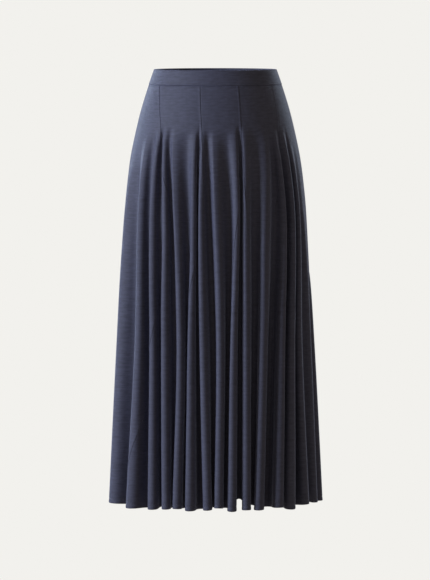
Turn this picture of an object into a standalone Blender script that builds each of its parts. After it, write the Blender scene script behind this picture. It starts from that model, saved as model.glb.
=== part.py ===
"""A godet maxi skirt in navy jersey, as it hangs when it is worn: a waistband, eight gores, and eight
godets let into the seams between them. Metres, +Z up, the front towards -Y, and the origin at the middle
of the waist opening. Left and right are as seen from the front."""

import math

import bpy
import numpy as np

LENGTH = 0.942  # from the waist's rim to the hem
BAND_HEIGHT = 0.033
BAND_WALL = 0.0028  # two layers of jersey over the elastic
CLOTH_WALL = 0.0018
SEAM_GAP = 0.0003
GODET_POINT = 0.135  # how far below the waist the godets begin
GODET_POINT_WIDTH = 0.001
BAND_COLUMNS = 64
CLOTH_COLOUR = (0.045, 0.050, 0.078, 1.0)
CLOTH_ROUGHNESS = 0.72

# The skirt without its folds: half its width, and how far it stands out in front and behind.
SECTION_COLUMNS = ("drop", "half_width", "front", "back")
SECTIONS = (
    (0.000, 0.1310, 0.095, 0.096),
    (0.033, 0.1425, 0.102, 0.105),
    (0.056, 0.1500, 0.107, 0.112),
    (0.095, 0.1615, 0.113, 0.121),
    (0.135, 0.1712, 0.118, 0.129),
    (0.186, 0.1818, 0.123, 0.136),
    (0.264, 0.1920, 0.127, 0.142),
    (0.394, 0.2005, 0.131, 0.147),
    (0.602, 0.2085, 0.136, 0.153),
    (0.942, 0.2200, 0.142, 0.161),
)

# One row for each flute, in order round the skirt. The first four columns are where its ridge stands, in
# degrees from the centre front, at the levels in FLUTE_LEVELS. Then how deep the fold is at the hem, how
# far below the waist it starts, how much higher the hem is there than LENGTH, and where the hollow after
# it lies above and at the hem, as a share of the way to the next ridge. A hollow moves from the one place
# to the other between the levels in HOLLOW_LEVELS, so the folds in front lean over towards the hem.
FLUTE_LEVELS = (0.155, 0.283, 0.543, 0.942)
FLUTE_COLUMNS = ("point", "hip", "knee", "hem", "depth", "start", "rise", "hollow", "hem_hollow")
HOLLOW_LEVELS = (0.000, 0.250, 0.475, 0.700, 0.942)
FLUTES = (
    (-76.0, -74.5, -73.5, -73.2, 0.044, 0.200, 0.006, 0.64, 0.68),
    (-56.0, -54.0, -51.0, -53.5, 0.040, 0.145, 0.000, 0.55, 0.68),
    (-44.2, -43.0, -39.7, -36.9, 0.036, 0.125, 0.001, 0.50, 0.64),
    (-37.8, -33.6, -31.4, -28.1, 0.036, 0.120, 0.003, 0.50, 0.64),
    (-30.0, -25.8, -21.2, -21.7, 0.036, 0.130, 0.005, 0.60, 0.68),
    (-14.4, -13.4, -14.2, -14.4, 0.038, 0.132, 0.001, 0.50, 0.64),
    (-9.2, -9.2, -7.6, -4.2, 0.038, 0.125, 0.003, 0.50, 0.64),
    (-1.2, 0.5, 2.6, 1.6, 0.038, 0.132, 0.008, 0.60, 0.68),
    (14.0, 13.8, 11.0, 8.8, 0.038, 0.125, 0.000, 0.50, 0.64),
    (20.4, 19.0, 18.1, 17.1, 0.038, 0.120, 0.003, 0.50, 0.64),
    (37.2, 33.3, 29.3, 24.0, 0.040, 0.135, 0.002, 0.60, 0.60),
    (47.4, 47.8, 42.5, 36.6, 0.044, 0.125, 0.006, 0.46, 0.46),
    (57.4, 57.0, 50.8, 45.0, 0.044, 0.135, 0.000, 0.52, 0.52),
    (64.8, 64.5, 58.6, 59.0, 0.032, 0.160, 0.007, 0.50, 0.50),
    (74.0, 75.0, 75.0, 74.5, 0.020, 0.300, 0.006, 0.50, 0.50),
    (87.0, 88.0, 89.0, 90.0, 0.028, 0.440, 0.005, 0.50, 0.50),
    (98.0, 99.0, 101.0, 102.0, 0.020, 0.330, 0.004, 0.50, 0.50),
    (109.0, 111.0, 112.0, 114.0, 0.034, 0.190, 0.002, 0.50, 0.50),
    (120.0, 122.0, 124.0, 125.0, 0.040, 0.135, 0.000, 0.50, 0.50),
    (130.0, 132.0, 135.0, 135.5, 0.038, 0.125, 0.004, 0.50, 0.50),
    (143.0, 144.0, 146.0, 145.0, 0.038, 0.160, 0.001, 0.58, 0.58),
    (154.5, 155.0, 155.5, 155.0, 0.040, 0.140, 0.005, 0.50, 0.50),
    (165.0, 165.0, 165.0, 164.5, 0.038, 0.125, 0.002, 0.50, 0.50),
    (176.0, 176.0, 175.0, 174.0, 0.038, 0.155, 0.000, 0.44, 0.44),
    (187.0, 187.0, 186.0, 184.5, 0.040, 0.150, 0.006, 0.50, 0.50),
    (196.0, 196.0, 196.0, 195.0, 0.038, 0.125, 0.002, 0.50, 0.50),
    (206.0, 206.0, 206.0, 205.0, 0.038, 0.140, 0.003, 0.50, 0.50),
    (217.0, 217.0, 216.0, 216.0, 0.036, 0.150, 0.000, 0.56, 0.56),
    (228.5, 228.0, 226.0, 226.0, 0.040, 0.125, 0.004, 0.50, 0.50),
    (238.0, 238.0, 238.0, 238.0, 0.038, 0.140, 0.001, 0.50, 0.50),
    (250.0, 251.0, 252.0, 252.0, 0.030, 0.240, 0.005, 0.45, 0.45),
    (265.0, 266.0, 267.0, 269.0, 0.022, 0.380, 0.006, 0.50, 0.50),
)
RIDGE_SHARE = 0.45  # of a fold's depth that stands outside the plain section
FOLD_GROWTH = 0.60  # folds deepen fast below their start, then slower
RISE_FROM = 0.700  # where a raised hem begins to draw the cloth up
# How much more the hem is drawn up in the hollow after some flutes, so that light shows under it.
HOLLOW_RISES = {3: 0.004, 9: 0.022, 10: 0.007, 14: 0.004, 20: 0.008, 25: 0.010}
HOLLOW_SPREAD = 0.35  # of a flute, to each side

# One row for each seam between gores, where its godet is let in. A place is a flute's number: 3 is the
# third ridge, 3.5 the hollow after it. The seam runs from waist to point, and then along both edges.
SEAM_LEVELS = (0.135, 0.283, 0.543, 0.805, 0.942)
SEAM_COLUMNS = ("name", "waist", "point", "left_hip", "left_knee", "left_calf", "left_hem",
                "right_hip", "right_knee", "right_calf", "right_hem")
SEAMS = (
    ("front_left_outer", 1.96, 3.27, 3.75, 3.10, 2.05, 1.75, 4.32, 4.20, 4.20, 4.25),
    ("front_left_inner", 6.29, 6.99, 6.55, 5.75, 5.52, 5.50, 7.20, 7.36, 7.42, 7.45),
    ("front_right_inner", 9.97, 9.80, 9.12, 8.76, 8.65, 8.60, 10.02, 10.22, 10.38, 10.45),
    ("front_right_outer", 13.32, 12.57, 11.58, 11.62, 11.62, 11.62, 12.60, 13.12, 13.25, 13.30),
    ("back_right_outer", 19.10, 19.80, 19.30, 18.75, 18.32, 18.20, 20.28, 20.42, 20.47, 20.50),
    ("back_right_inner", 22.80, 22.95, 22.50, 22.00, 21.75, 21.65, 23.30, 23.50, 23.58, 23.60),
    ("back_left_inner", 26.20, 26.05, 25.60, 25.10, 24.85, 24.80, 26.40, 26.60, 26.75, 26.80),
    ("back_left_outer", 30.10, 29.50, 29.05, 28.50, 28.10, 28.05, 29.90, 30.20, 30.35, 30.40),
)
GORES = ("side_left", "front_left", "front_centre", "front_right",
         "side_right", "back_right", "back_centre", "back_left")

# The rows of the cloth: how far below the waist, and how many steps it takes there from a ridge to the
# next hollow. The cloth is smooth above the godets' points, and its folds are round from FULL_STEPS on.
FULL_STEPS = 6
YOKE_ROWS = ((BAND_HEIGHT + SEAM_GAP, 1), (0.062, 1), (0.095, 1), (0.128, 1))
FOLD_ROWS = ((GODET_POINT, 1), (0.186, 2), (0.240, 4), (0.320, FULL_STEPS), (0.430, FULL_STEPS),
             (0.560, FULL_STEPS), (0.700, FULL_STEPS), (0.820, FULL_STEPS), (LENGTH, FULL_STEPS))
CROWDING = 0.014  # how far points move towards a ridge or a hollow, where the cloth turns
EDGE_CLEARANCE = 0.45  # of a step, between a piece's edge and its next point


def column(table, names, name):
    return np.array([row[names.index(name)] for row in table])


def smooth_between(at, places, values):
    """The value at a place, on a curve that passes through each row of a table."""
    places, values = np.asarray(places), np.asarray(values)
    slopes = np.gradient(values, places, axis=0)
    at = float(np.clip(at, places[0], places[-1]))
    i = int(np.clip(np.searchsorted(places, at) - 1, 0, len(places) - 2))
    step = places[i + 1] - places[i]
    t = (at - places[i]) / step
    return (
        values[i] * (1 + 2 * t) * (1 - t) ** 2
        + values[i + 1] * t * t * (3 - 2 * t)
        + slopes[i] * step * t * (1 - t) ** 2
        - slopes[i + 1] * step * t * t * (1 - t)
    )


def wave_table():
    """For each steepest angle of a fold's side, its depth over its width, and its curve from top to foot.
    A fold bends as a sheet does: its slope follows a sine along its length."""
    along = np.linspace(0.0, 1.0, 49)
    steepest = np.linspace(0.01, 2.15, 80)
    slope = steepest[:, None] * np.sin(math.pi * along)

    def summed(values):
        middles = (values[:, 1:] + values[:, :-1]) / 2
        return np.concatenate([np.zeros((len(values), 1)), np.cumsum(middles, axis=1)], axis=1)

    across, down = summed(np.cos(slope)), summed(np.sin(slope))
    ratios = down[:, -1] / across[:, -1]
    return along, ratios, across / across[:, -1:], down / down[:, -1:]


ALONG, RATIOS, ACROSS, DOWN = wave_table()


def half_wave(width, depth, share):
    """Where a share of the way along the cloth lies, from a fold's top (0, 0) to its foot (1, 1)."""
    place = np.interp(depth / width, RATIOS, np.arange(len(RATIOS)))
    low = min(int(place), len(RATIOS) - 2)
    mix = place - low
    across = ACROSS[low] * (1 - mix) + ACROSS[low + 1] * mix
    down = DOWN[low] * (1 - mix) + DOWN[low + 1] * mix
    return np.interp(share, ALONG, across), np.interp(share, ALONG, down)


def plain_section(drop):
    """The section without folds, as points round it from the left side, their normals and girth so far."""
    half_width, front, back = smooth_between(
        drop, column(SECTIONS, SECTION_COLUMNS, "drop"), np.array(SECTIONS)[:, 1:]
    )
    angle = np.radians(np.linspace(-90.0, 360.0, 1801))
    depth = np.where(np.cos(angle) > 0, front, back)
    x, y = half_width * np.sin(angle), -depth * np.cos(angle)
    dx, dy = half_width * np.cos(angle), depth * np.sin(angle)
    speed = np.hypot(dx, dy)
    steps = (speed[1:] + speed[:-1]) / 2 * np.diff(angle)
    girth = np.concatenate([[0.0], np.cumsum(steps)])
    return np.degrees(angle), girth, x, y, dy / speed, -dx / speed


def hem_rise(place):
    """How much higher than LENGTH the hem is at a place round the skirt."""
    count = len(FLUTES)
    flute_rise = column(FLUTES, FLUTE_COLUMNS, "rise")
    ridges = np.arange(1, count + 2)
    rise = np.interp(place, ridges, np.append(flute_rise, flute_rise[0]))
    for flute, extra in HOLLOW_RISES.items():
        near = np.clip(1 - np.abs(place - flute - 0.5) / HOLLOW_SPREAD, 0, 1)
        rise = rise + extra * near**2 * (3 - 2 * near)
    return rise


class Ring:
    """The cloth's middle line at one distance below the waist, as a function of the place round it."""

    SAMPLES = 24  # from a ridge to the next hollow

    def __init__(self, drop):
        self.drop = drop
        angle, girth, x, y, nx, ny = plain_section(drop)
        count = len(FLUTES)
        ridge_angle = smooth_between(drop, FLUTE_LEVELS, np.array([row[:4] for row in FLUTES]).T)
        start, depth = column(FLUTES, FLUTE_COLUMNS, "start"), column(FLUTES, FLUTE_COLUMNS, "depth")
        grown = np.clip((drop - start) / (LENGTH - start), 0, 1) ** FOLD_GROWTH * depth
        ridge_angle = np.append(ridge_angle, ridge_angle[0] + 360)
        grown = np.append(grown, grown[0])
        turn_angle = np.zeros(2 * count + 1)
        turn_out = np.zeros(2 * count + 1)
        turn_angle[::2], turn_out[::2] = ridge_angle, grown * RIDGE_SHARE
        high, low = column(FLUTES, FLUTE_COLUMNS, "hollow"), column(FLUTES, FLUTE_COLUMNS, "hem_hollow")
        hollow = smooth_between(drop, HOLLOW_LEVELS, (high, high, (high + low) / 2, low, low))
        turn_angle[1::2] = ridge_angle[:-1] + np.diff(ridge_angle) * hollow
        turn_out[1::2] = -(grown[1:] + grown[:-1]) / 2 * (1 - RIDGE_SHARE)
        turn_girth = np.interp(turn_angle, angle, girth)
        share = np.linspace(0, 1, self.SAMPLES, endpoint=False)
        at, out = [], []
        for k in range(2 * count):
            width, fall = turn_girth[k + 1] - turn_girth[k], turn_out[k] - turn_out[k + 1]
            across, down = half_wave(width, abs(fall), share)
            at.append(turn_girth[k] + width * across)
            out.append(turn_out[k] - fall * down)
        at = np.append(np.concatenate(at), turn_girth[-1])
        out = np.append(np.concatenate(out), turn_out[-1])
        self.place = 1 + np.arange(len(at)) / (2 * self.SAMPLES)
        self.x = np.interp(at, girth, x) + np.interp(at, girth, nx) * out
        self.y = np.interp(at, girth, y) + np.interp(at, girth, ny) * out
        dx = np.gradient(self.x)
        dy = np.gradient(self.y)
        dx[0] = dx[-1] = (dx[0] + dx[-1]) / 2
        dy[0] = dy[-1] = (dy[0] + dy[-1]) / 2
        speed = np.hypot(dx, dy)
        self.nx, self.ny = dy / speed, -dx / speed
        pieces = np.hypot(np.diff(self.x), np.diff(self.y))
        self.cloth = np.concatenate([[0.0], np.cumsum(pieces)])
        self.count = count

    def read(self, values, place):
        return np.interp((np.asarray(place) - 1) % self.count + 1, self.place, values)

    def moved(self, place, distance):
        """The place that lies this far along the cloth from another."""
        turns = math.floor((place - 1) / self.count)
        cloth = np.interp(place - turns * self.count, self.place, self.cloth) + distance
        turns += math.floor(cloth / self.cloth[-1])
        return float(np.interp(cloth % self.cloth[-1], self.cloth, self.place)) + turns * self.count

    def points(self, places, offset):
        """Points of the cloth's outer or inner face, offset from its middle."""
        x, y = self.read(self.x, places), self.read(self.y, places)
        nx, ny = self.read(self.nx, places), self.read(self.ny, places)
        pull = np.clip((self.drop - RISE_FROM) / (LENGTH - RISE_FROM), 0, 1) ** 2
        rise = hem_rise((np.asarray(places) - 1) % self.count + 1) * pull
        return np.stack([x + nx * offset, y + ny * offset, rise - self.drop], axis=1)


RINGS = {drop: Ring(drop) for drop, _ in YOKE_ROWS + FOLD_ROWS}


def seam_places(seam, drop):
    """Where a seam's left and right edges lie at this level: one place above the godet's point."""
    values = dict(zip(SEAM_COLUMNS, seam))
    ring = RINGS[drop]
    if drop < GODET_POINT:
        share = (drop - BAND_HEIGHT) / (GODET_POINT - BAND_HEIGHT)
        place = values["waist"] + (values["point"] - values["waist"]) * share
        return place, place
    if drop == GODET_POINT:
        half = GODET_POINT_WIDTH / 2 + SEAM_GAP / 2
        return ring.moved(values["point"], -half), ring.moved(values["point"], half)
    edges = []
    for side in ("left", "right"):
        stops = [values["point"]] + [values[f"{side}_{level}"] for level in ("hip", "knee", "calf", "hem")]
        edges.append(float(smooth_between(drop, SEAM_LEVELS, stops)))
    return tuple(edges)


def row_places(drop, steps, left, right):
    """The places of one row's points, from a piece's left edge to its right edge, clear of the seams."""
    ring = RINGS[drop]
    left, right = ring.moved(left, SEAM_GAP / 2), ring.moved(right, -SEAM_GAP / 2)
    pitch = 0.5 / steps
    inside = np.arange(math.ceil(left / pitch), math.floor(right / pitch) + 1) * pitch
    if steps == FULL_STEPS:
        inside = inside - CROWDING * np.sin(4 * math.pi * inside)
    clear = EDGE_CLEARANCE * pitch
    inside = inside[(inside > left + clear) & (inside < right - clear)]
    return np.concatenate([[left], inside, [right]])


def lofted(name, rows, closed=False):
    """A wall through rows of (places, outer points, inner points), each row with its own number of points."""
    points, faces, index = [], [], []
    for places, outer, inner in rows:
        numbers = []
        for side in (outer, inner):
            numbers.append(list(range(len(points), len(points) + len(side))))
            points.extend(side.tolist())
        if closed:
            numbers = [side + side[:1] for side in numbers]
        index.append((list(places), *numbers))
    for (above, *tops), (below, *feet) in zip(index, index[1:]):
        i = j = 0
        while i < len(above) - 1 or j < len(below) - 1:
            takes_above = j == len(below) - 1 or (i < len(above) - 1 and above[i + 1] <= below[j + 1])
            for top, foot in zip(tops, feet):
                last = top[i + 1] if takes_above else foot[j + 1]
                faces.append((top[i], foot[j], last) if top is tops[0] else (top[i], last, foot[j]))
            i, j = (i + 1, j) if takes_above else (i, j + 1)
        if not closed:
            # Both edges are split along the same diagonal, so that two pieces stay parallel at a seam.
            for end in (0, -1):
                faces.append((tops[0][end], tops[1][end], feet[1][end]))
                faces.append((tops[0][end], feet[1][end], feet[0][end]))
    for _, outer, inner in (index[0], index[-1]):
        for i in range(len(outer) - 1):
            faces.append((outer[i], outer[i + 1], inner[i + 1], inner[i]))
    mesh = bpy.data.meshes.new(name)
    mesh.from_pydata(points, [], faces)
    return mesh


def cloth_material(name):
    material = bpy.data.materials.new(f"{name}_jersey")
    material.use_nodes = True
    shader = material.node_tree.nodes["Principled BSDF"]
    shader.inputs["Base Color"].default_value = CLOTH_COLOUR
    shader.inputs["Roughness"].default_value = CLOTH_ROUGHNESS
    shader.inputs["Metallic"].default_value = 0.0
    return material


def add_piece(collection, parent, name, mesh):
    """The piece as an object with its faces turned outwards, its own material, and smooth shading."""
    piece = bpy.data.objects.new(name, mesh)
    collection.objects.link(piece)
    piece.parent = parent
    mesh.materials.append(cloth_material(name))
    bpy.context.view_layer.objects.active = piece
    piece.select_set(True)
    bpy.ops.object.mode_set(mode="EDIT")
    bpy.ops.mesh.select_all(action="SELECT")
    bpy.ops.mesh.normals_make_consistent(inside=False)
    bpy.ops.object.mode_set(mode="OBJECT")
    piece.select_set(False)
    mesh.shade_smooth()
    mesh.set_sharp_from_angle(angle=math.radians(60))
    return piece


def panel(name, rows, left_edge, right_edge):
    """A gore or godet between two seam edges, each a function of the distance below the waist."""
    loft = []
    for drop, steps in rows:
        places = row_places(drop, steps, left_edge(drop), right_edge(drop))
        ring = RINGS[drop]
        loft.append((places, ring.points(places, CLOTH_WALL / 2), ring.points(places, -CLOTH_WALL / 2)))
    return lofted(name, loft)


def waistband():
    """A ring of even height that flares with the hips."""
    loft = []
    for drop in (0.0, BAND_HEIGHT / 2, BAND_HEIGHT):
        angle, girth, x, y, nx, ny = plain_section(drop)
        stops = np.linspace(-90.0, 270.0, BAND_COLUMNS + 1)
        read = [np.interp(stops, angle, values) for values in (x, y, nx, ny)]
        sides = []
        for offset in (BAND_WALL / 2, -BAND_WALL / 2):
            across, along = read[0] + read[2] * offset, read[1] + read[3] * offset
            sides.append(np.stack([across, along, np.full(len(stops), -drop)], axis=1)[:-1])
        loft.append((stops, *sides))
    return lofted("waistband", loft, closed=True)


def build():
    for old in list(bpy.data.objects):
        bpy.data.objects.remove(old, do_unlink=True)
    collection = bpy.data.collections.new("godet_maxi_skirt")
    bpy.context.scene.collection.children.link(collection)
    waist = bpy.data.objects.new("waist_centre", None)
    collection.objects.link(waist)
    add_piece(collection, waist, "waistband", waistband())
    count = len(FLUTES)
    for number, gore in enumerate(GORES):
        before, after = SEAMS[number - 1], SEAMS[number]
        back = count if number == 0 else 0
        mesh = panel(
            f"gore_{gore}",
            YOKE_ROWS + FOLD_ROWS,
            lambda drop, seam=before, turn=back: seam_places(seam, drop)[1] - turn,
            lambda drop, seam=after: seam_places(seam, drop)[0],
        )
        add_piece(collection, waist, f"gore_{gore}", mesh)
    for seam in SEAMS:
        mesh = panel(
            f"godet_{seam[0]}",
            FOLD_ROWS,
            lambda drop, seam=seam: seam_places(seam, drop)[0],
            lambda drop, seam=seam: seam_places(seam, drop)[1],
        )
        add_piece(collection, waist, f"godet_{seam[0]}", mesh)


build()
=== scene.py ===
"""A godet maxi skirt in navy jersey, hanging as it does when it is worn: eight gores, eight godets let into
the seams between them, a waistband and a stitched hem. Metres, +Z up, the front towards -Y. Left and right
are as seen from the front."""

import math

import bpy
import numpy as np
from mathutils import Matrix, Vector


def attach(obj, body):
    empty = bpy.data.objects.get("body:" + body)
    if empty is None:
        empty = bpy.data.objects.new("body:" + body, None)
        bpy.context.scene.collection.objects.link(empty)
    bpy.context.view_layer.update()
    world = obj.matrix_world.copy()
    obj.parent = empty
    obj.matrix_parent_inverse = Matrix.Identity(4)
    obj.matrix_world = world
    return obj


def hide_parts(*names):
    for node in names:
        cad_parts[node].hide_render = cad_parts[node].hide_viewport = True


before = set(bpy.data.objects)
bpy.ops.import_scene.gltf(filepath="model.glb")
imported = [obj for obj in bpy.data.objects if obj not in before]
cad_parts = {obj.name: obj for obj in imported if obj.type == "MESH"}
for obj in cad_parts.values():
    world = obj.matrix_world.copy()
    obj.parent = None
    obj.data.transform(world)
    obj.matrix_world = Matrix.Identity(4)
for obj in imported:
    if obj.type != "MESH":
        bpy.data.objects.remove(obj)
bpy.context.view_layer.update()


# The gores: eight panels of viscose jersey, narrow in front and behind and wide round the sides, cut with a
# little flare. They are sewn to each other down to the godets' points, and their edges are overlocked and
# turned in. Below the hips they fall into deep flutes.
MM = 0.001
LENGTH = 0.942  # from the waist's rim to the hem
BAND_HEIGHT = 0.033
JERSEY = 0.0006  # the cloth's thickness
FACE_OUT = 0.0009  # from a section's path out to the cloth's face
GODET_POINT = 0.135  # how far below the waist the godets begin
GODET_POINT_WIDTH = 0.0013  # between the two seams there

# The skirt without its folds: half its width, and how far it stands out in front and behind.
SECTION_COLUMNS = ("drop", "half_width", "front", "back")
SECTIONS = (
    (0.000, 0.1310, 0.095, 0.096),
    (0.033, 0.1425, 0.102, 0.105),
    (0.056, 0.1500, 0.107, 0.112),
    (0.095, 0.1615, 0.113, 0.121),
    (0.135, 0.1712, 0.118, 0.129),
    (0.186, 0.1818, 0.123, 0.136),
    (0.264, 0.1920, 0.127, 0.142),
    (0.394, 0.2005, 0.131, 0.147),
    (0.602, 0.2085, 0.136, 0.153),
    (0.942, 0.2200, 0.142, 0.161),
)

# One row for each flute, in order round the skirt: where its ridge stands, in degrees from the centre
# front, at the levels in FLUTE_LEVELS, how deep the fold is at the hem, how far below the waist it starts,
# how much higher the hem is there, and where the hollow after it lies above and at the hem, as a share of
# the way to the next ridge. A hollow moves from the one place to the other between HOLLOW_LEVELS.
FLUTE_LEVELS = (0.155, 0.283, 0.543, 0.942)
FLUTE_COLUMNS = ("point", "hip", "knee", "hem", "depth", "start", "rise", "hollow", "hem_hollow")
HOLLOW_LEVELS = (0.000, 0.250, 0.475, 0.700, 0.942)
FLUTES = (
    (-76.0, -74.5, -73.5, -73.2, 0.044, 0.200, 0.006, 0.64, 0.68),
    (-56.0, -54.0, -51.0, -53.5, 0.040, 0.145, 0.000, 0.55, 0.68),
    (-44.2, -43.0, -39.7, -36.9, 0.036, 0.125, 0.001, 0.50, 0.64),
    (-37.8, -33.6, -31.4, -28.1, 0.036, 0.120, 0.003, 0.50, 0.64),
    (-30.0, -25.8, -21.2, -21.7, 0.036, 0.130, 0.005, 0.60, 0.68),
    (-14.4, -13.4, -14.2, -14.4, 0.038, 0.132, 0.001, 0.50, 0.64),
    (-9.2, -9.2, -7.6, -4.2, 0.038, 0.125, 0.003, 0.50, 0.64),
    (-1.2, 0.5, 2.6, 1.6, 0.038, 0.132, 0.008, 0.60, 0.68),
    (14.0, 13.8, 11.0, 8.8, 0.038, 0.125, 0.000, 0.50, 0.64),
    (20.4, 19.0, 18.1, 17.1, 0.038, 0.120, 0.003, 0.50, 0.64),
    (37.2, 33.3, 29.3, 24.0, 0.040, 0.135, 0.002, 0.60, 0.60),
    (47.4, 47.8, 42.5, 36.6, 0.044, 0.125, 0.006, 0.46, 0.46),
    (57.4, 57.0, 50.8, 45.0, 0.044, 0.135, 0.000, 0.52, 0.52),
    (64.8, 64.5, 58.6, 59.0, 0.032, 0.160, 0.007, 0.50, 0.50),
    (74.0, 75.0, 75.0, 74.5, 0.020, 0.300, 0.006, 0.50, 0.50),
    (87.0, 88.0, 89.0, 90.0, 0.028, 0.440, 0.005, 0.50, 0.50),
    (98.0, 99.0, 101.0, 102.0, 0.020, 0.330, 0.004, 0.50, 0.50),
    (109.0, 111.0, 112.0, 114.0, 0.034, 0.190, 0.002, 0.50, 0.50),
    (120.0, 122.0, 124.0, 125.0, 0.040, 0.135, 0.000, 0.50, 0.50),
    (130.0, 132.0, 135.0, 135.5, 0.038, 0.125, 0.004, 0.50, 0.50),
    (143.0, 144.0, 146.0, 145.0, 0.038, 0.160, 0.001, 0.58, 0.58),
    (154.5, 155.0, 155.5, 155.0, 0.040, 0.140, 0.005, 0.50, 0.50),
    (165.0, 165.0, 165.0, 164.5, 0.038, 0.125, 0.002, 0.50, 0.50),
    (176.0, 176.0, 175.0, 174.0, 0.038, 0.155, 0.000, 0.44, 0.44),
    (187.0, 187.0, 186.0, 184.5, 0.040, 0.150, 0.006, 0.50, 0.50),
    (196.0, 196.0, 196.0, 195.0, 0.038, 0.125, 0.002, 0.50, 0.50),
    (206.0, 206.0, 206.0, 205.0, 0.038, 0.140, 0.003, 0.50, 0.50),
    (217.0, 217.0, 216.0, 216.0, 0.036, 0.150, 0.000, 0.56, 0.56),
    (228.5, 228.0, 226.0, 226.0, 0.040, 0.125, 0.004, 0.50, 0.50),
    (238.0, 238.0, 238.0, 238.0, 0.038, 0.140, 0.001, 0.50, 0.50),
    (250.0, 251.0, 252.0, 252.0, 0.030, 0.240, 0.005, 0.45, 0.45),
    (265.0, 266.0, 267.0, 269.0, 0.022, 0.380, 0.006, 0.50, 0.50),
)
RIDGE_SHARE = 0.45  # of a fold's depth that stands outside the plain section
FOLD_GROWTH = 0.60  # folds deepen fast below their start, then slower
RISE_FROM = 0.700  # where a raised hem begins to draw the cloth up
# How much more the hem is drawn up in the hollow after some flutes, so that light shows under it.
HOLLOW_RISES = {3: 0.004, 9: 0.022, 10: 0.007, 14: 0.004, 20: 0.008, 25: 0.010}
HOLLOW_SPREAD = 0.35  # of a flute, to each side

# One row for each seam between gores, where its godet is let in. A place is a flute's number: 3 is the
# third ridge, 3.5 the hollow after it. The seam runs from waist to point, and then along both edges.
SEAM_LEVELS = (0.135, 0.283, 0.543, 0.805, 0.942)
SEAM_COLUMNS = ("name", "waist", "point", "left_hip", "left_knee", "left_calf", "left_hem",
                "right_hip", "right_knee", "right_calf", "right_hem")
SEAMS = (
    ("front_left_outer", 1.96, 3.27, 3.75, 3.10, 2.05, 1.75, 4.32, 4.20, 4.20, 4.25),
    ("front_left_inner", 6.29, 6.99, 6.55, 5.75, 5.52, 5.50, 7.20, 7.36, 7.42, 7.45),
    ("front_right_inner", 9.97, 9.80, 9.12, 8.76, 8.65, 8.60, 10.02, 10.22, 10.38, 10.45),
    ("front_right_outer", 13.32, 12.57, 11.58, 11.62, 11.62, 11.62, 12.60, 13.12, 13.25, 13.30),
    ("back_right_outer", 19.10, 19.80, 19.30, 18.75, 18.32, 18.20, 20.28, 20.42, 20.47, 20.50),
    ("back_right_inner", 22.80, 22.95, 22.50, 22.00, 21.75, 21.65, 23.30, 23.50, 23.58, 23.60),
    ("back_left_inner", 26.20, 26.05, 25.60, 25.10, 24.85, 24.80, 26.40, 26.60, 26.75, 26.80),
    ("back_left_outer", 30.10, 29.50, 29.05, 28.50, 28.10, 28.05, 29.90, 30.20, 30.35, 30.40),
)
GORES = ("side_left", "front_left", "front_centre", "front_right",
         "side_right", "back_right", "back_centre", "back_left")

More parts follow.
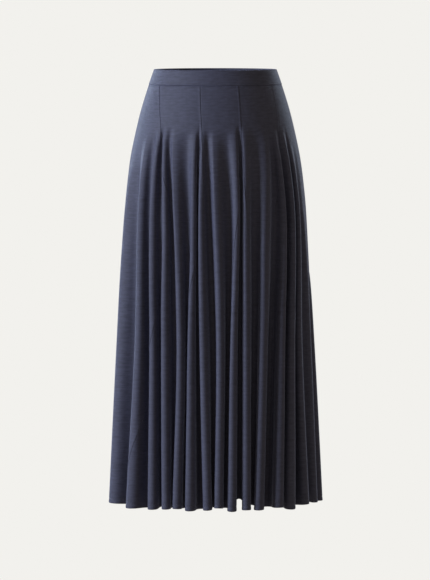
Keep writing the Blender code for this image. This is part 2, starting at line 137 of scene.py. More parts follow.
# Small creases on top of the flutes. A row holds the places where one begins and ends, how far below the
# waist that is, how far it spreads, in flutes, and how far it stands out, in millimetres. A trough stands
# out by less than nothing.
CREASES = (
    # Hollows that run down from the godets' points.
    (3.50, 3.50, 0.112, 0.320, 0.17, -3.6),
    (6.56, 6.50, 0.110, 0.310, 0.15, -2.4),
    (9.56, 9.50, 0.114, 0.300, 0.15, -2.0),
    (12.42, 12.46, 0.112, 0.300, 0.14, -2.2),
    (13.50, 13.50, 0.120, 0.330, 0.14, -1.6),
    (19.50, 19.50, 0.112, 0.320, 0.16, -3.0),
    (22.62, 22.50, 0.112, 0.300, 0.16, -2.4),
    (26.44, 26.50, 0.110, 0.310, 0.16, -2.6),
    (29.50, 29.50, 0.114, 0.330, 0.16, -3.2),
    # Shallower hollows between them, where the cloth is drawn in from the hips.
    (2.52, 2.50, 0.125, 0.330, 0.20, -2.2),
    (4.50, 4.50, 0.135, 0.300, 0.18, -1.4),
    (5.58, 5.55, 0.125, 0.360, 0.24, -2.6),
    (8.50, 8.55, 0.150, 0.330, 0.22, -1.4),
    (11.60, 11.60, 0.140, 0.340, 0.20, -1.6),
    (18.60, 18.55, 0.150, 0.380, 0.20, -1.8),
    (21.55, 21.52, 0.140, 0.350, 0.22, -2.0),
    (24.44, 24.44, 0.145, 0.320, 0.22, -1.6),
    (28.54, 28.50, 0.150, 0.360, 0.20, -1.8),
    # Ridges drawn narrow, from the hips down.
    (1.94, 1.95, 0.130, 0.480, 0.075, 1.5),
    (2.93, 2.92, 0.135, 0.560, 0.070, 1.4),
    (4.93, 4.94, 0.140, 0.470, 0.065, 1.3),
    (5.93, 5.93, 0.150, 0.420, 0.070, 1.5),
    (7.93, 7.92, 0.140, 0.440, 0.070, 1.4),
    (5.94, 5.93, 0.420, 0.720, 0.060, 1.2),
    (8.94, 8.93, 0.380, 0.860, 0.060, 1.3),
    (10.94, 10.94, 0.260, 0.520, 0.070, 0.9),
    (18.06, 18.07, 0.180, 0.560, 0.070, 1.2),
    (20.95, 20.94, 0.150, 0.480, 0.070, 1.3),
    (23.06, 23.07, 0.160, 0.620, 0.065, 1.2),
    (25.95, 25.93, 0.140, 0.450, 0.070, 1.4),
    (28.07, 28.06, 0.170, 0.540, 0.070, 1.1),
    # Small soft folds down the flutes' sides, some short and some long.
    (1.30, 1.22, 0.260, 0.640, 0.085, 0.8),
    (1.52, 1.46, 0.420, 0.900, 0.060, -0.7),
    (2.24, 2.30, 0.460, 0.930, 0.055, 0.9),
    (3.22, 3.30, 0.380, 0.760, 0.050, 0.8),
    (4.22, 4.27, 0.190, 0.700, 0.055, 1.1),
    (5.26, 5.31, 0.300, 0.880, 0.055, 0.8),
    (6.20, 6.28, 0.250, 0.580, 0.055, 1.0),
    (7.24, 7.30, 0.360, 0.930, 0.050, 0.8),
    (8.28, 8.33, 0.420, 0.940, 0.055, 0.9),
    (9.20, 9.26, 0.200, 0.420, 0.060, 1.1),
    (9.28, 9.31, 0.500, 0.900, 0.050, 0.7),
    (10.24, 10.32, 0.340, 0.940, 0.060, 1.1),
    (11.30, 11.36, 0.360, 0.900, 0.060, 1.2),
    (12.22, 12.27, 0.440, 0.940, 0.060, 0.9),
    (13.16, 13.24, 0.260, 0.720, 0.055, 0.8),
    (14.26, 14.20, 0.300, 0.640, 0.060, -0.8),
    (14.62, 14.58, 0.500, 0.920, 0.070, 0.8),
    (15.40, 15.34, 0.380, 0.800, 0.080, 0.9),
    (16.48, 16.56, 0.300, 0.860, 0.080, -0.8),
    (17.34, 17.40, 0.420, 0.900, 0.070, 0.9),
    (18.26, 18.31, 0.350, 0.740, 0.055, 0.8),
    (19.22, 19.30, 0.480, 0.930, 0.055, 0.9),
    (20.30, 20.24, 0.240, 0.640, 0.060, 0.9),
    (21.26, 21.30, 0.520, 0.920, 0.050, 0.8),
    (22.22, 22.27, 0.300, 0.700, 0.055, 1.0),
    (23.74, 23.70, 0.400, 0.900, 0.055, 0.9),
    (24.76, 24.71, 0.260, 0.560, 0.060, 0.9),
    (25.24, 25.30, 0.480, 0.940, 0.050, 0.8),
    (26.22, 26.28, 0.320, 0.800, 0.055, 1.0),
    (27.70, 27.74, 0.380, 0.700, 0.055, -0.8),
    (28.74, 28.70, 0.420, 0.930, 0.050, 0.8),
    (29.24, 29.30, 0.280, 0.640, 0.055, 0.9),
    (30.30, 30.24, 0.460, 0.900, 0.070, 0.9),
    (31.44, 31.52, 0.340, 0.820, 0.080, -0.9),
    (32.50, 32.42, 0.300, 0.760, 0.085, 0.9),
)

FOLD_STEPS = 12  # columns of the cloth's mesh from a ridge to the next hollow
ROW_STEP = 0.006

# A panel's edge from its raw edge to its face: millimetres along the cloth from the seam, and millimetres
# in from the face. A gore's edge is turned back inside, and PRESSED is an edge shut inside the hem. The
# turnings are pressed to the left, which lifts the cloth there and leaves it low on the right of a seam.
TURNED = ((6.0, 1.9), (1.3, 1.9), (0.35, 1.55), (0.0, 0.90))
PRESSED = ((0.0, 0.9), (0.02, 0.7), (0.05, 0.5), (0.08, 0.35))
LOW_FACE = ((0.12, 0.22), (0.5, 0.10), (1.4, 0.03), (3.0, 0.0), (5.0, 0.0))
LIFTED_FACE = ((0.12, 0.10), (0.5, -0.30), (1.3, -0.52), (3.0, -0.28), (5.0, 0.0))
# The top edge and the hem in the same way: millimetres below the waist seam or above the hem, and in.
TOP_TURN = ((6.5, 1.9), (3.8, 1.9), (1.3, 1.9), (0.35, 1.6), (0.0, 1.1), (0.35, 0.55), (1.0, 0.18),
            (2.0, 0.0))
HEM_TURN = ((18.0, 0.0), (14.5, -0.05), (12.2, 0.0), (11.0, 0.35), (9.75, 0.1), (8.5, 0.35), (7.2, 0.0),
            (5.0, -0.2), (3.0, -0.2), (1.2, -0.1), (0.25, 0.3), (0.0, 0.9), (0.25, 1.5), (1.2, 1.8),
            (4.0, 1.8), (8.0, 1.8), (12.5, 1.8))
ROLL = 0.95  # half the depth of a turned edge, in millimetres
ALLOWANCE_CLEAR = (0.014, 0.018)  # the turned-in edges end between these heights above the hem
ALLOWANCE_TOP = (0.006, 0.012)  # and begin so far below the waist seam


def column(table, names, name):
    """One named column of a table."""
    return np.array([row[names.index(name)] for row in table])


def smooth_between(at, places, values):
    """The value at a place, on a curve that passes through each row of a table."""
    places, values = np.asarray(places), np.asarray(values)
    slopes = np.gradient(values, places, axis=0)
    at = float(np.clip(at, places[0], places[-1]))
    i = int(np.clip(np.searchsorted(places, at) - 1, 0, len(places) - 2))
    step = places[i + 1] - places[i]
    t = (at - places[i]) / step
    return (
        values[i] * (1 + 2 * t) * (1 - t) ** 2
        + values[i + 1] * t * t * (3 - 2 * t)
        + slopes[i] * step * t * (1 - t) ** 2
        - slopes[i + 1] * step * t * t * (1 - t)
    )


def eased(value, start, end):
    """0 before start and 1 after end, with a soft passage between them."""
    t = np.clip((np.asarray(value) - start) / (end - start), 0, 1)
    return t * t * (3 - 2 * t)


WAVE_FLATTEST = 0.01  # radians, the slope of a shallow fold's side
WAVE_STEEPEST = 2.15  # and of a deep one's, which leans over past upright
WAVE_SHAPES = 80
WAVE_STOPS = 49  # along each of them


def wave_table():
    """For each steepest angle of a fold's side, its depth over its width, and its curve from top to foot.
    A fold bends as a sheet does: its slope follows a sine along its length."""
    along = np.linspace(0.0, 1.0, WAVE_STOPS)
    steepest = np.linspace(WAVE_FLATTEST, WAVE_STEEPEST, WAVE_SHAPES)
    slope = steepest[:, None] * np.sin(math.pi * along)

    def summed(values):
        middles = (values[:, 1:] + values[:, :-1]) / 2
        return np.concatenate([np.zeros((len(values), 1)), np.cumsum(middles, axis=1)], axis=1)

    across, down = summed(np.cos(slope)), summed(np.sin(slope))
    ratios = down[:, -1] / across[:, -1]
    return along, ratios, across / across[:, -1:], down / down[:, -1:]


ALONG, RATIOS, ACROSS, DOWN = wave_table()


def half_wave(width, depth, share):
    """Where a share of the way along the cloth lies, from a fold's top (0, 0) to its foot (1, 1)."""
    place = np.interp(depth / width, RATIOS, np.arange(len(RATIOS)))
    low = min(int(place), len(RATIOS) - 2)
    mix = place - low
    across = ACROSS[low] * (1 - mix) + ACROSS[low + 1] * mix
    down = DOWN[low] * (1 - mix) + DOWN[low + 1] * mix
    return np.interp(share, ALONG, across), np.interp(share, ALONG, down)


SECTION_ENDS = (-90.0, 360.0)  # degrees from the centre front, past the first flute and the last
SECTION_STEPS = 1800


def plain_section(drop):
    """The section without folds: the angles of points round it, the girth up to each, where they lie, and
    their normals."""
    half_width, front, back = smooth_between(
        drop, column(SECTIONS, SECTION_COLUMNS, "drop"), np.array(SECTIONS)[:, 1:]
    )
    angle = np.radians(np.linspace(*SECTION_ENDS, SECTION_STEPS + 1))
    depth = np.where(np.cos(angle) > 0, front, back)
    x, y = half_width * np.sin(angle), -depth * np.cos(angle)
    dx, dy = half_width * np.cos(angle), depth * np.sin(angle)
    speed = np.hypot(dx, dy)
    steps = (speed[1:] + speed[:-1]) / 2 * np.diff(angle)
    girth = np.concatenate([[0.0], np.cumsum(steps)])
    return np.degrees(angle), girth, x, y, dy / speed, -dx / speed


def hem_rise(place):
    """How much higher than LENGTH the hem is at a place round the skirt."""
    count = len(FLUTES)
    flute_rise = column(FLUTES, FLUTE_COLUMNS, "rise")
    ridges = np.arange(1, count + 2)
    rise = np.interp(place, ridges, np.append(flute_rise, flute_rise[0]))
    for flute, extra in HOLLOW_RISES.items():
        rise = rise + extra * eased(1 - np.abs(place - flute - 0.5) / HOLLOW_SPREAD, 0, 1)
    return rise


def small_creases(place, drop):
    """How far the small creases lift the cloth from its flutes at this level."""
    count = len(FLUTES)
    lift = np.zeros(np.shape(place))
    for start, end, top, foot, spread, height in CREASES:
        if top < drop < foot:
            share = (drop - top) / (foot - top)
            middle = start + (end - start) * share
            away = (place - middle + count / 2) % count - count / 2
            lift = lift + height * MM * math.sin(math.pi * share) * np.exp(-((away / spread) ** 2))
    return lift


class Ring:
    """The cloth's path at one distance below the waist, as a function of the place round it."""

    SAMPLES = 24  # from a ridge to the next hollow

    def __init__(self, drop):
        self.drop = drop
        angle, girth, x, y, nx, ny = plain_section(drop)
        count = len(FLUTES)
        # Where the cloth turns, at a ridge and a hollow by turns, and how far out that is.
        ridge_angle = smooth_between(drop, FLUTE_LEVELS, np.array([row[:4] for row in FLUTES]).T)
        start, depth = column(FLUTES, FLUTE_COLUMNS, "start"), column(FLUTES, FLUTE_COLUMNS, "depth")
        grown = np.clip((drop - start) / (LENGTH - start), 0, 1) ** FOLD_GROWTH * depth
        ridge_angle = np.append(ridge_angle, ridge_angle[0] + 360)
        grown = np.append(grown, grown[0])
        turn_angle = np.zeros(2 * count + 1)
        turn_out = np.zeros(2 * count + 1)
        turn_angle[::2], turn_out[::2] = ridge_angle, grown * RIDGE_SHARE
        high, low = column(FLUTES, FLUTE_COLUMNS, "hollow"), column(FLUTES, FLUTE_COLUMNS, "hem_hollow")
        hollow = smooth_between(drop, HOLLOW_LEVELS, (high, high, (high + low) / 2, low, low))
        turn_angle[1::2] = ridge_angle[:-1] + np.diff(ridge_angle) * hollow
        turn_out[1::2] = -(grown[1:] + grown[:-1]) / 2 * (1 - RIDGE_SHARE)
        turn_girth = np.interp(turn_angle, angle, girth)
        # From each turn to the next the cloth follows half a wave, laid along the plain section.
        share = np.linspace(0, 1, self.SAMPLES, endpoint=False)
        at, out = [], []
        for k in range(2 * count):
            width, fall = turn_girth[k + 1] - turn_girth[k], turn_out[k] - turn_out[k + 1]
            across, down = half_wave(width, abs(fall), share)
            at.append(turn_girth[k] + width * across)
            out.append(turn_out[k] - fall * down)
        at = np.append(np.concatenate(at), turn_girth[-1])
        out = np.append(np.concatenate(out), turn_out[-1])
        self.place = 1 + np.arange(len(at)) / (2 * self.SAMPLES)
        self.x = np.interp(at, girth, x) + np.interp(at, girth, nx) * out
        self.y = np.interp(at, girth, y) + np.interp(at, girth, ny) * out
        dx = np.gradient(self.x)
        dy = np.gradient(self.y)
        dx[0] = dx[-1] = (dx[0] + dx[-1]) / 2
        dy[0] = dy[-1] = (dy[0] + dy[-1]) / 2
        speed = np.hypot(dx, dy)
        self.nx, self.ny = dy / speed, -dx / speed
        pieces = np.hypot(np.diff(self.x), np.diff(self.y))
        self.cloth = np.concatenate([[0.0], np.cumsum(pieces)])
        self.count = count

    def read(self, values, place):
        """What a row of values comes to at a place."""
        return np.interp((np.asarray(place) - 1) % self.count + 1, self.place, values)

    def cloth_at(self, place):
        """Metres of cloth from the first ridge round to a place."""
        turns = np.floor((np.asarray(place) - 1) / self.count)
        return np.interp(place - turns * self.count, self.place, self.cloth) + turns * self.cloth[-1]

    def place_at(self, cloth):
        """The place that lies so many metres of cloth from the first ridge."""
        turns = np.floor(np.asarray(cloth) / self.cloth[-1])
        return np.interp(cloth - turns * self.cloth[-1], self.cloth, self.place) + turns * self.count

    def points(self, places, inward):
        """Points of the cloth's face, or so far in from it."""
        x, y = self.read(self.x, places), self.read(self.y, places)
        nx, ny = self.read(self.nx, places), self.read(self.ny, places)
        first_round = (places - 1) % self.count + 1
        out = FACE_OUT - inward + small_creases(first_round, self.drop)
        pull = np.clip((self.drop - RISE_FROM) / (LENGTH - RISE_FROM), 0, 1) ** 2
        rise = hem_rise(first_round) * pull
        return np.stack([x + nx * out, y + ny * out, rise - self.drop], axis=1)


rings = {}


def ring_at(drop):
    """The ring so far below the waist, worked out once."""
    drop = round(float(drop), 7)
    if drop not in rings:
        rings[drop] = Ring(drop)
    return rings[drop]


def seam_places(seam, ring):
    """Where a seam's left and right edges lie at this level: one place above the godet's point."""
    values = dict(zip(SEAM_COLUMNS, seam))
    if ring.drop < GODET_POINT:
        share = (ring.drop - BAND_HEIGHT) / (GODET_POINT - BAND_HEIGHT)
        place = values["waist"] + (values["point"] - values["waist"]) * share
        return place, place
    edges = []
    for side in ("left", "right"):
        stops = [values["point"]] + [values[f"{side}_{level}"] for level in ("hip", "knee", "calf", "hem")]
        edges.append(ring.cloth_at(smooth_between(ring.drop, SEAM_LEVELS, stops)))
    narrow = max(0.0, GODET_POINT_WIDTH - (edges[1] - edges[0])) / 2
    return ring.place_at(edges[0] - narrow), ring.place_at(edges[1] + narrow)


def cloth_rows(top, has_top_edge):
    """Each row of a panel as (drop, how far in, how far its sides' allowances lie open, how they roll)."""
    rows = []
    if has_top_edge:
        rows += [(top + below * MM, inward, 0.0, 1 - inward / ROLL) for below, inward in TOP_TURN]
        top = rows[-1][0]
    foot = LENGTH - HEM_TURN[0][0] * MM
    steps = round((foot - top) / ROW_STEP)
    first = 1 if has_top_edge else 0
    for drop in np.linspace(top, foot, steps + 1)[first:-1]:
        lies_open = eased(drop - BAND_HEIGHT, *ALLOWANCE_TOP) * eased(LENGTH - drop, *ALLOWANCE_CLEAR)
        if not has_top_edge:
            lies_open = lies_open * eased(drop - top, 0.0, ALLOWANCE_TOP[1])
        rows.append((drop, 0.0, lies_open, 1.0))
    rows += [(LENGTH - above * MM, inward, 0.0, 1 - inward / ROLL) for above, inward in HEM_TURN]
    return rows


BEYOND = 10**6  # more than the columns round the skirt, so that a panel's edges come before and after them
EDGE_ROOM = 1.2  # of the reach of an edge's face, kept free of the panel's own columns
LEAST_WIDTH = 2.3  # of that reach: on a narrower panel both edges' faces are drawn in


def panel_edges(allowance, lies_open, fit):
    """A row's left edge and its right one, from the raw edge to the face: how far along, and how far in."""
    inner = np.array(PRESSED) + (np.array(allowance) - PRESSED) * lies_open
    edges = []
    for face in (LOW_FACE, LIFTED_FACE):
        along, depth = np.concatenate([inner, face]).T * MM
        edges.append((np.where(along > 0, along * fit, along), depth))
    return edges


def jersey_panel(name, rows, left_edge, right_edge, allowance):
    """A panel's face as a mesh, with a map of its cloth in metres, and its flat width at each row."""
    points, flat, faces, widths = [], [], [], []
    above = None
    reach = LOW_FACE[-1][0] * MM
    for drop, inward, lies_open, roll in rows:
        ring = ring_at(drop)
        low, high = ring.cloth_at(left_edge(ring)), ring.cloth_at(right_edge(ring))
        fit = min(1.0, (high - low) / (LEAST_WIDTH * reach))
        (left_along, left_depth), (right_along, right_depth) = panel_edges(allowance, lies_open, fit)
        number = np.arange(math.ceil(left_edge(ring) * 2 * FOLD_STEPS), right_edge(ring) * 2 * FOLD_STEPS)
        inside = ring.cloth_at(number / (2 * FOLD_STEPS))
        keep = (inside > low + EDGE_ROOM * reach) & (inside < high - EDGE_ROOM * reach)
        cloth = np.concatenate([low + left_along, inside[keep], high - right_along[::-1]])
        depth = np.concatenate([left_depth, np.zeros(keep.sum()), right_depth[::-1]]) * roll
        # A column that goes on from row to row keeps its key, by which the rows are joined.
        order = np.arange(len(left_along))
        keys = np.concatenate([order - BEYOND, number[keep], order + BEYOND])
        places = ring.place_at(cloth)
        first = len(points)
        points.extend(ring.points(places, inward * MM + depth).tolist())
        middle = (low + high) / 2
        flat.extend(zip(cloth - middle, np.full(len(cloth), -drop)))
        widths.append((drop, high - low))
        below = (keys.tolist(), list(range(first, first + len(keys))))
        if above:
            faces.extend(faces_between(above, below))
        above = below
    return cloth_mesh(name, points, faces, flat), widths


def cloth_mesh(name, points, faces, flat):
    """A mesh with a map of its cloth in metres, which the knit follows."""
    mesh = bpy.data.meshes.new(name)
    mesh.from_pydata(points, [], faces)
    corners = np.zeros(len(mesh.loops), np.int32)
    mesh.loops.foreach_get("vertex_index", corners)
    cloth_map = mesh.uv_layers.new(name="cloth")
    cloth_map.uv.foreach_set("vector", np.array(flat, np.float32)[corners].ravel())
    mesh.shade_smooth()
    return mesh


def faces_between(above, below):
    """Faces between two rows that share most of their columns."""
    faces = []
    (top_keys, top), (foot_keys, foot) = above, below
    i = j = 0
    end = float("inf")
    while i < len(top) - 1 or j < len(foot) - 1:
        next_top = top_keys[i + 1] if i < len(top) - 1 else end
        next_foot = foot_keys[j + 1] if j < len(foot) - 1 else end
        if next_top == next_foot:
            faces.append((top[i], foot[j], foot[j + 1], top[i + 1]))
            i, j = i + 1, j + 1
        elif next_top < next_foot:
            faces.append((top[i], foot[j], top[i + 1]))
            i += 1
        else:
            faces.append((top[i], foot[j], foot[j + 1]))
            j += 1
    return faces


def group_nodes(name, inputs, outputs):
    """An empty shader node group with these sockets, and its two end nodes."""
    group = bpy.data.node_groups.new(name, "ShaderNodeTree")
    for socket, kind in inputs:
        group.interface.new_socket(socket, in_out="INPUT", socket_type=kind)
    for socket, kind in outputs:
        group.interface.new_socket(socket, in_out="OUTPUT", socket_type=kind)
    return group, group.nodes.new("NodeGroupInput"), group.nodes.new("NodeGroupOutput")


def maths(tree, operation, *values):
    """A Math node on sockets and numbers, and its result."""
    node = tree.nodes.new("ShaderNodeMath")
    node.operation = operation
    for socket, value in zip(node.inputs, values):
        if isinstance(value, bpy.types.NodeSocket):
            tree.links.new(value, socket)
        else:
            socket.default_value = value
    return node.outputs[0]


# The yarn's thick and thin places: how often they come in a metre across the cloth and down it, and how
# much they change its shade.
YARN_STREAKS = (
    (70.0, 210.0, 0.75),  # a short grain
    (22.0, 430.0, 0.60),  # streaks along the courses
    (260.0, 5.0, 0.12),  # and down the wales
    (22.0, 9.0, 0.16),  # soft clouds
)
LOOP_ROUNDNESS = 0.6
PAINTED_SHADE_BETWEEN = 0.85  # painted shade between stitches, as a share of the yarn's colour
PAINTED_SHADE_GAIN = 0.30  # painted light added from there to the top of a stitch


def knit_stitches():
    """Plain knitting: columns of V-shaped stitches, their height, and their shade: painted shade, darker
    between the stitches and lighter on their tops, with the yarn's own streaks on it.
    """
    group, start, end = group_nodes(
        "knit_stitches",
        [("Cloth", "NodeSocketVector"), ("Wale", "NodeSocketFloat"), ("Course", "NodeSocketFloat"),
         ("Slant", "NodeSocketFloat")],
        [("Height", "NodeSocketFloat"), ("Shade", "NodeSocketFloat")],
    )
    parts = group.nodes.new("ShaderNodeSeparateXYZ")
    group.links.new(start.outputs["Cloth"], parts.inputs[0])
    across = maths(group, "FRACT", maths(group, "DIVIDE", parts.outputs[0], start.outputs["Wale"]))
    from_middle = maths(group, "ABSOLUTE", maths(group, "SUBTRACT", across, 0.5))
    leg = maths(group, "ABSOLUTE", maths(group, "SINE", maths(group, "MULTIPLY", across, 2 * math.pi)))
    down = maths(group, "DIVIDE", parts.outputs[1], start.outputs["Course"])
    phase = maths(group, "ADD", down, maths(group, "MULTIPLY", from_middle, start.outputs["Slant"]))
    loop = maths(group, "SINE", maths(group, "MULTIPLY", phase, 2 * math.pi))
    loop = maths(group, "MULTIPLY_ADD", loop, 0.5, 0.5)
    height = maths(group, "MULTIPLY", maths(group, "POWER", loop, LOOP_ROUNDNESS), leg)
    group.links.new(height, end.inputs["Height"])
    # Painted shade: the colour is darker where the stitches' relief is low and lighter on their tops.
    shade = maths(group, "MULTIPLY_ADD", height, PAINTED_SHADE_GAIN, PAINTED_SHADE_BETWEEN)
    for scale_across, scale_down, amount in YARN_STREAKS:
        stretched = group.nodes.new("ShaderNodeVectorMath")
        stretched.operation = "MULTIPLY"
        stretched.inputs[1].default_value = (scale_across, scale_down, 1.0)
        group.links.new(start.outputs["Cloth"], stretched.inputs[0])
        noise = group.nodes.new("ShaderNodeTexNoise")
        noise.inputs["Scale"].default_value = 1.0
        noise.inputs["Detail"].default_value = 2.0
        group.links.new(stretched.outputs[0], noise.inputs["Vector"])
        streak = maths(group, "SUBTRACT", noise.outputs["Fac"], 0.5)
        shade = maths(group, "ADD", shade, maths(group, "MULTIPLY", streak, amount))
    group.links.new(shade, end.inputs["Shade"])
    return group


KNIT = knit_stitches()
NAVY = (0.049, 0.053, 0.092)
NAVY_SHEEN = (0.55, 0.62, 0.95, 1.0)
WALE = 0.00070  # a stitch's width
COURSE = 0.00055  # and its height


def jersey_cloth(name, course, slant, relief, sheen):
    """Fine jersey from its face or its back: the same stitches, lit by a soft sheen of loose fibres."""
    material = bpy.data.materials.new(name)
    material.use_nodes = True
    tree = material.node_tree
    cloth = tree.nodes["Principled BSDF"]
    cloth.inputs["Roughness"].default_value = 0.62
    cloth.inputs["Specular IOR Level"].default_value = 0.28
    cloth.inputs["Sheen Weight"].default_value = sheen
    cloth.inputs["Sheen Roughness"].default_value = 0.35
    cloth.inputs["Sheen Tint"].default_value = NAVY_SHEEN
    place = tree.nodes.new("ShaderNodeUVMap")
    place.uv_map = "cloth"
    stitches = tree.nodes.new("ShaderNodeGroup")
    stitches.node_tree = KNIT
    stitches.inputs["Wale"].default_value = WALE
    stitches.inputs["Course"].default_value = course
    stitches.inputs["Slant"].default_value = slant
    tree.links.new(place.outputs["UV"], stitches.inputs["Cloth"])
    # The navy is scaled by the stitches' shade: painted shade between the stitches, and the yarn's own
    # streaks.
    shaded = tree.nodes.new("ShaderNodeVectorMath")
    shaded.operation = "SCALE"
    shaded.inputs[0].default_value = NAVY
    tree.links.new(stitches.outputs["Shade"], shaded.inputs["Scale"])
    tree.links.new(shaded.outputs[0], cloth.inputs["Base Color"])
    bump = tree.nodes.new("ShaderNodeBump")
    bump.inputs["Strength"].default_value = 0.6
    bump.inputs["Distance"].default_value = relief
    tree.links.new(stitches.outputs["Height"], bump.inputs["Height"])
    tree.links.new(bump.outputs["Normal"], cloth.inputs["Normal"])
    return material


jersey_face = jersey_cloth("navy_jersey_face", COURSE, slant=1.7, relief=0.00012, sheen=0.55)
jersey_back = jersey_cloth("navy_jersey_back", COURSE / 2, slant=0.0, relief=0.00010, sheen=0.25)


def hang_panel(name, node, mesh):
    """The panel as a piece: the cloth gets its thickness inwards, and its back shows inside."""
    piece = bpy.data.objects.new(name, mesh)
    bpy.context.scene.collection.objects.link(piece)
    mesh.materials.append(jersey_face)
    mesh.materials.append(jersey_back)
    thickness = piece.modifiers.new("thickness", "SOLIDIFY")
    thickness.thickness = JERSEY
    thickness.offset = -1
    thickness.use_even_offset = True
    thickness.thickness_clamp = 0.9
    thickness.material_offset = 1
    thickness.material_offset_rim = 1
    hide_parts(node)
    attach(piece, "root")


for number, gore in enumerate(GORES):
    before, after = SEAMS[number - 1], SEAMS[number]
    turn = len(FLUTES) if number == 0 else 0  # the first gore begins at the last seam, a round earlier
    gore_mesh, gore_widths = jersey_panel(
        f"{gore}_gore",
        cloth_rows(BAND_HEIGHT, True),
        lambda ring: seam_places(before, ring)[1] - turn,
        lambda ring: seam_places(after, ring)[0],
        TURNED,
    )
    hang_panel(f"{gore}_gore", f"gore_{gore}", gore_mesh)


# The godets: eight long triangles of the same jersey, sewn point upwards into the gores' seams. Their edges
# lie over the gores' inside, and their fullness makes most of the flutes.
LAID_OVER = ((-6.0, 2.0), (-1.2, 2.0), (-0.25, 1.75), (-0.02, 1.2))
for number, seam in enumerate(SEAMS):
    godet_mesh, godet_widths = jersey_panel(
        f"{seam[0]}_godet",
        cloth_rows(GODET_POINT, False),
        lambda ring: seam_places(seam, ring)[0],
        lambda ring: seam_places(seam, ring)[1],
        LAID_OVER,
    )
    hang_panel(f"{seam[0]}_godet", f"godet_{seam[0]}", godet_mesh)


# The hem's stitching: two rows of navy thread on the face, as a coverstitch machine makes them, which hold
# the turned-up edge. The stitches lie in the shallow grooves that their thread draws in the cloth.
STITCH_ROWS = (8.5, 11.0)  # millimetres above the hem
STITCH_LENGTH = 0.0026
STITCH_STEP = 0.0033
THREAD_RADIUS = 0.00019
THREAD_IN = 0.00026  # from the cloth's face to the thread's middle
THREAD_DIP = 0.00030  # how much deeper a stitch's ends go
THREAD_END = 0.4  # of the thread's radius, where a stitch goes into the cloth
THREAD_STOPS = 5
THREAD_SIDES = 4
THREAD_DARK = (0.038, 0.042, 0.075, 1.0)
THREAD_LIGHT = (0.070, 0.076, 0.125, 1.0)


def hem_stitches():
    """Short bent threads all round the hem, with a square section."""
    points, faces = [], []
    bend = np.cos(np.linspace(-math.pi / 2, math.pi / 2, THREAD_STOPS))
    for above in STITCH_ROWS:
        ring = ring_at(LENGTH - above * MM)
        count = round(ring.cloth[-1] / STITCH_STEP)
        starts = np.arange(count) * ring.cloth[-1] / count
        along = starts[:, None] + np.linspace(0.0, STITCH_LENGTH, THREAD_STOPS)
        places = ring.place_at(along.ravel())
        face = ring.points(places, 0.0)
        out = (face - ring.points(places, MM)) / MM
        up = np.array([0.0, 0.0, 1.0])
        arched = np.tile(bend, count)[:, None]
        middle = face - out * (THREAD_IN + THREAD_DIP * (1 - arched))
        radius = THREAD_RADIUS * (THREAD_END + (1 - THREAD_END) * arched)
        sides = np.stack([middle + turn * radius for turn in (out, up, -out, -up)])
        sides = sides.reshape(THREAD_SIDES, count, THREAD_STOPS, 3).transpose(1, 0, 2, 3)
        for stitch in range(count):
            first = len(points) + stitch * THREAD_SIDES * THREAD_STOPS
            near = [first + side * THREAD_STOPS for side in range(THREAD_SIDES)]
            for here, there in zip(near, near[1:] + near[:1]):
                for stop in range(THREAD_STOPS - 1):
                    faces.append((here + stop, here + stop + 1, there + stop + 1, there + stop))
            faces.append(near)
            faces.append([corner + THREAD_STOPS - 1 for corner in near[::-1]])
        points.extend(sides.reshape(-1, 3).tolist())
    mesh = bpy.data.meshes.new("hem_stitching")
    mesh.from_pydata(points, [], faces)
    mesh.shade_smooth()
    return mesh


navy_thread = bpy.data.materials.new("navy_thread")
navy_thread.use_nodes = True
thread_tree = navy_thread.node_tree
thread = thread_tree.nodes["Principled BSDF"]
thread.inputs["Roughness"].default_value = 0.5
thread.inputs["Sheen Weight"].default_value = 0.3
twist = thread_tree.nodes.new("ShaderNodeTexNoise")
twist.inputs["Scale"].default_value = 700.0
thread_shade = thread_tree.nodes.new("ShaderNodeMix")
thread_shade.data_type = "RGBA"
mixed, dark, light = thread_shade.inputs[0], thread_shade.inputs[6], thread_shade.inputs[7]
dark.default_value = THREAD_DARK
light.default_value = THREAD_LIGHT
thread_tree.links.new(twist.outputs["Fac"], mixed)
thread_tree.links.new(thread_shade.outputs[2], thread.inputs["Base Color"])

hem_stitching = bpy.data.objects.new("hem_stitching", hem_stitches())
bpy.context.scene.collection.objects.link(hem_stitching)
hem_stitching.data.materials.append(navy_thread)
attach(hem_stitching, "root")


# The waistband: a straight strip of the jersey, joined into a ring at the centre back and folded over
# elastic. Both raw edges are sewn to the gores' tops and hang down inside.
BAND_FACE_OUT = 0.0014
BAND_COLUMNS = 360
CENTRE_FRONT, CENTRE_BACK = 0.0, 180.0  # degrees
# The strip's path from one raw edge to the other: millimetres below the rim, and in from its face.
BAND_PATH = ((39.5, 2.6), (36.0, 2.6), (34.2, 2.2), (33.3, 1.3), (32.9, 0.5), (32.3, 0.0), (31.4, -0.25),
             (30.4, -0.22), (29.7, 0.08), (28.9, 0.08), (28.0, 0.0), (24.0, 0.0), (20.0, 0.0), (16.0, 0.0),
             (12.0, 0.0), (8.0, 0.0), (4.0, 0.0), (1.6, 0.0), (0.6, 0.25), (0.15, 0.7), (0.0, 1.4),
             (0.15, 2.1), (0.6, 2.55), (1.6, 2.8), (6.0, 2.8), (12.0, 2.8), (18.0, 2.8), (24.0, 2.8),
             (30.0, 2.8), (33.0, 3.0), (36.0, 3.5), (39.5, 3.5))


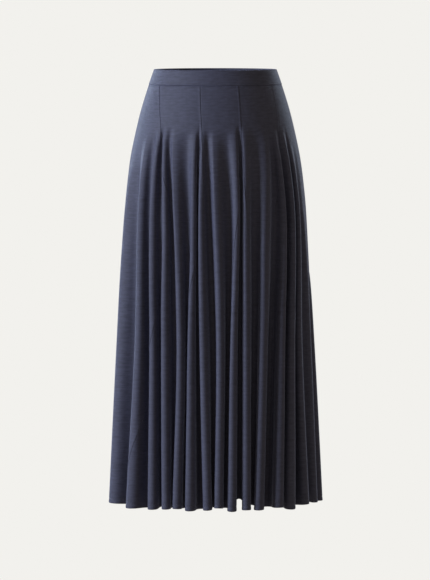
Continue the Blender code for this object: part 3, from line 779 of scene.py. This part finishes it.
def folded_band():
    """The strip's face as a mesh, with a map of its cloth in metres, and its flat length and width. Its two
    ends are rolled in and meet at the centre back."""
    ends = np.array(PRESSED + LOW_FACE) * MM
    points, flat = [], []
    width = 0.0
    before = None
    for below, inward in BAND_PATH:
        drop = below * MM
        angle, girth, x, y, nx, ny = plain_section(drop)
        front, back = np.interp((CENTRE_FRONT, CENTRE_BACK), angle, girth)
        around = 2 * (back - front)
        between = np.linspace(ends[-1, 0], around - ends[-1, 0], BAND_COLUMNS)[1:-1]
        cloth = np.concatenate([ends[:, 0], between, around - ends[::-1, 0]])
        depth = np.concatenate([ends[:, 1], np.zeros(len(between)), ends[::-1, 1]])
        roll = 1 - inward / BAND_FACE_OUT * MM
        place = (back + cloth - girth[0]) % around + girth[0]
        out = BAND_FACE_OUT - inward * MM - depth * roll
        px = np.interp(place, girth, x) + np.interp(place, girth, nx) * out
        py = np.interp(place, girth, y) + np.interp(place, girth, ny) * out
        if before is not None:
            width += math.hypot((below - before[0]) * MM, (inward - before[1]) * MM)
        before = (below, inward)
        points.append(np.stack([px, py, np.full(len(px), -drop)], axis=1))
        flat.append(np.stack([cloth, np.full(len(cloth), width)], axis=1))
    rows, columns = len(points), len(points[0])
    number = np.arange(rows * columns).reshape(rows, columns)
    quads = np.stack([number[1:, :-1], number[:-1, :-1], number[:-1, 1:], number[1:, 1:]], axis=-1)
    mesh = cloth_mesh(
        "folded_waistband",
        np.concatenate(points).tolist(),
        quads.reshape(-1, 4).tolist(),
        np.concatenate(flat),
    )
    return mesh, (round(around, 3), round(width, 3))


band_mesh, band_flat = folded_band()
hang_panel("folded_waistband", "waistband", band_mesh)


# The floor and the room: pale and plain, with no shadow, as in a studio where both are white. They light
# the skirt softly and a little warmly from all round. From below, the floor is clear.
PALE = (0.888, 0.879, 0.847, 1.0)
ROOM_LIGHT = (0.305, 0.264, 0.212, 1.0)
FLOOR_DROP = 1.06  # below the waist, so that the hem hangs clear of it
FLOOR_SIZE = 60.0


def room_colour(tree):
    """Pale to the camera, and the room's weaker light to everything else."""
    seen = tree.nodes.new("ShaderNodeLightPath")
    either = tree.nodes.new("ShaderNodeMix")
    either.data_type = "RGBA"
    factor, plain, shown = either.inputs[0], either.inputs[6], either.inputs[7]
    plain.default_value = ROOM_LIGHT
    shown.default_value = PALE
    tree.links.new(seen.outputs["Is Camera Ray"], factor)
    return either.outputs[2]


pale_floor = bpy.data.materials.new("pale_floor")
pale_floor.use_nodes = True
floor_tree = pale_floor.node_tree
floor_tree.nodes.clear()
glow = floor_tree.nodes.new("ShaderNodeEmission")
floor_tree.links.new(room_colour(floor_tree), glow.inputs["Color"])
clear = floor_tree.nodes.new("ShaderNodeBsdfTransparent")
side = floor_tree.nodes.new("ShaderNodeNewGeometry")
from_above = floor_tree.nodes.new("ShaderNodeMixShader")
floor_tree.links.new(side.outputs["Backfacing"], from_above.inputs[0])
floor_tree.links.new(glow.outputs[0], from_above.inputs[1])
floor_tree.links.new(clear.outputs[0], from_above.inputs[2])
floor_end = floor_tree.nodes.new("ShaderNodeOutputMaterial")
floor_tree.links.new(from_above.outputs[0], floor_end.inputs["Surface"])

bpy.ops.mesh.primitive_plane_add(size=FLOOR_SIZE, location=(0, 0, -FLOOR_DROP))
floor = bpy.context.object
floor.name = "studio_floor"
floor.data.materials.append(pale_floor)

world = bpy.data.worlds.new("studio")
bpy.context.scene.world = world
world.use_nodes = True
ambient = world.node_tree.nodes["Background"]
world.node_tree.links.new(room_colour(world.node_tree), ambient.inputs["Color"])


# The lights: a soft cool one from the left, and two weaker ones behind, which draw the skirt's edges. A row
# holds a light's name, place, size, watts and colour.
SKIRT_MIDDLE = Vector((0.0, 0.0, -0.42))
LIGHTS = (
    ("key_left", (-3.58, -1.45, 0.62), 1.2, 200.0, (0.82, 0.89, 1.0)),
    ("edge_left", (-2.80, 2.66, 0.62), 1.2, 82.0, (0.68, 0.82, 1.0)),
    ("edge_right", (2.60, 2.80, 0.62), 1.2, 44.0, (0.68, 0.82, 1.0)),
)
for name, place, size, watts, colour in LIGHTS:
    lamp = bpy.data.lights.new(name, "AREA")
    lamp.size = size
    lamp.energy = watts
    lamp.color = colour
    light = bpy.data.objects.new(name, lamp)
    bpy.context.scene.collection.objects.link(light)
    light.location = place
    light.rotation_euler = (SKIRT_MIDDLE - light.location).to_track_quat("-Z", "Y").to_euler()


# The camera: a long lens a little above the waist, nine metres in front.
IMAGE_HEIGHT = 580  # pixels
FOCAL_LENGTH = 4166  # in the same pixels
CAMERA_PLACE = (0.0, -9.0, 0.225)
CAMERA_AIM = Vector((-0.0007, 0.0, -0.478))
view = bpy.data.cameras.new("camera")
camera = bpy.data.objects.new("camera", view)
bpy.context.scene.collection.objects.link(camera)
camera.location = CAMERA_PLACE
camera.rotation_euler = (CAMERA_AIM - camera.location).to_track_quat("-Z", "Y").to_euler()
view.sensor_width = 36.0
view.lens = view.sensor_width * FOCAL_LENGTH / IMAGE_HEIGHT
bpy.context.scene.camera = camera
bpy.context.scene.view_settings.view_transform = "Standard"
